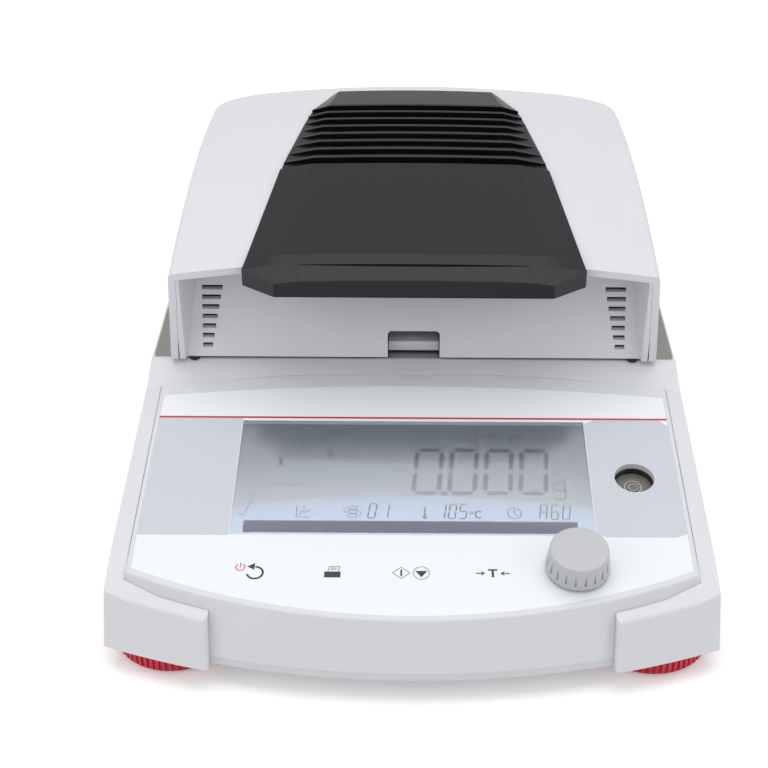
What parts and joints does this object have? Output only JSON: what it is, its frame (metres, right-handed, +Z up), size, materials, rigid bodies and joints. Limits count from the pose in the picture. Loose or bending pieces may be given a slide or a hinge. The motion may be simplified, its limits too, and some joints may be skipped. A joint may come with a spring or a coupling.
{
  "type": "moisture analyzer",
  "caption": "Benchtop halogen moisture analyzer: a balance base with sloping display panel, under a hinged heating lid with a louvered vent cover, on levelling feet.",
  "frame": {"origin": "under the middle of the base, on the bench plane, halfway between front and rear limits", "axes": "+X to the operator's right, +Y from the operator to the rear, +Z up"},
  "size_m": [0.213, 0.32, 0.1105],
  "materials": {
    "white_plastic": "satin moulded",
    "tray_plastic": "satin moulded",
    "overlay_film": "satin printed film",
    "window_film": "clear",
    "display_glass": "glossy",
    "circuit_board": "solder mask",
    "black_plastic": "fine texture",
    "red_plastic": "satin moulded",
    "knob_plastic": "satin moulded",
    "vial_resin": "clear",
    "deck_steel": "fine grain",
    "well_steel": "pressed",
    "plated_steel": "zinc plated",
    "pan_aluminium": "bright foil",
    "cell_aluminium": "machined",
    "reflector_aluminium": "bright",
    "clear_glass": "polished",
    "lamp_quartz": "clear",
    "lamp_ceramic": "unglazed",
    "foot_rubber": "matt",
    "foot_brass": "machined",
    "contact_metal": "nickel plated"
  },
  "bodies": {
    "base": {"base_housing": "white_plastic", "bottom_tray": "tray_plastic", "tray_screws": "plated_steel", "panel_bezel": "white_plastic", "panel_overlay": "overlay_film", "display_window": "window_film", "lcd_module": "display_glass", "main_board": "circuit_board", "key_switches": "black_plastic", "level_cup": "black_plastic", "level_vial": "vial_resin", "encoder_body": "black_plastic", "deck_plate": "deck_steel", "chamber_well": "well_steel", "draft_shield": "well_steel", "pan_support": "well_steel", "cell_stem": "plated_steel", "weighing_cell": "cell_aluminium", "cell_plate": "cell_aluminium", "hinge_brackets": "plated_steel", "hinge_pins": "plated_steel", "foot_nuts": "foot_brass", "rear_feet": "foot_rubber", "power_inlet": "black_plastic", "inlet_pins": "contact_metal", "serial_port": "plated_steel", "usb_port": "plated_steel", "power_supply": "circuit_board"},
    "lid": {"lid_shell": "white_plastic", "lid_apron": "white_plastic", "vent_cover": "black_plastic", "vent_baffle": "black_plastic", "lid_liner": "reflector_aluminium", "protective_glass": "clear_glass", "glass_clips": "plated_steel", "reflector": "reflector_aluminium", "halogen_lamp": "lamp_quartz", "lamp_holders": "lamp_ceramic", "temperature_sensor": "plated_steel", "lid_bumpers": "foot_rubber", "hinge_arms": "plated_steel"},
    "lifter": {"pan_lifter": "well_steel", "lifter_grip": "white_plastic"},
    "pan": {"sample_pan": "pan_aluminium"},
    "knob_plunger": {"encoder_plunger": "plated_steel"},
    "knob": {"encoder_shaft": "plated_steel", "knob": "knob_plastic"},
    "fuse_drawer": {"fuse_drawer": "black_plastic"},
    "left_foot_pad": {"left_foot_pad": "foot_rubber"},
    "left_foot_wheel": {"left_foot_wheel": "red_plastic", "left_foot_stud": "plated_steel"},
    "right_foot_pad": {"right_foot_pad": "foot_rubber"},
    "right_foot_wheel": {"right_foot_wheel": "red_plastic", "right_foot_stud": "plated_steel"}
  },
  "joints": [
    {"name": "lid_hinge", "type": "hinge", "parent": "base", "child": "lid", "pos_m": [0, 0.1349, 0.0614], "axis": [-1, 0, 0], "range_deg": [0, 78]},
    {"name": "lifter_lift", "type": "slide", "parent": "base", "child": "lifter", "axis": [0, 0, 1], "range_m": [0, 0.003]},
    {"name": "pan_lift", "type": "slide", "parent": "lifter", "child": "pan", "axis": [0, 0, 1], "range_m": [0, 0.005]},
    {"name": "knob_press", "type": "slide", "parent": "base", "child": "knob_plunger", "axis": [0, 0.1461, -0.9893], "range_m": [0, 0.0005], "stiffness_N_per_m": 3000, "springref_m": -0.0005},
    {"name": "knob_turn", "type": "hinge", "parent": "knob_plunger", "child": "knob", "pos_m": [0.0568, -0.1307, 0.034], "axis": [0, -0.1461, 0.9893], "continuous": true},
    {"name": "fuse_drawer_slide", "type": "slide", "parent": "base", "child": "fuse_drawer", "axis": [0, 1, 0], "range_m": [0, 0.018]},
    {"name": "left_foot_lift", "type": "slide", "parent": "base", "child": "left_foot_pad", "axis": [0, 0, 1], "range_m": [-0.0038, 0]},
    {"name": "left_foot_turn", "type": "hinge", "parent": "left_foot_pad", "child": "left_foot_wheel", "pos_m": [-0.084, -0.1276, 0.004], "axis": [0, 0, 1], "range_deg": [-1080, 0]},
    {"name": "right_foot_lift", "type": "slide", "parent": "base", "child": "right_foot_pad", "axis": [0, 0, 1], "range_m": [-0.0038, 0]},
    {"name": "right_foot_turn", "type": "hinge", "parent": "right_foot_pad", "child": "right_foot_wheel", "pos_m": [0.084, -0.1276, 0.004], "axis": [0, 0, 1], "range_deg": [-1080, 0]}
  ],
  "couplings": [
    {"joint": "left_foot_lift", "follows": "left_foot_turn", "m_per_rad": 0.00019894},
    {"joint": "right_foot_lift", "follows": "right_foot_turn", "m_per_rad": 0.00019894}
  ]
}
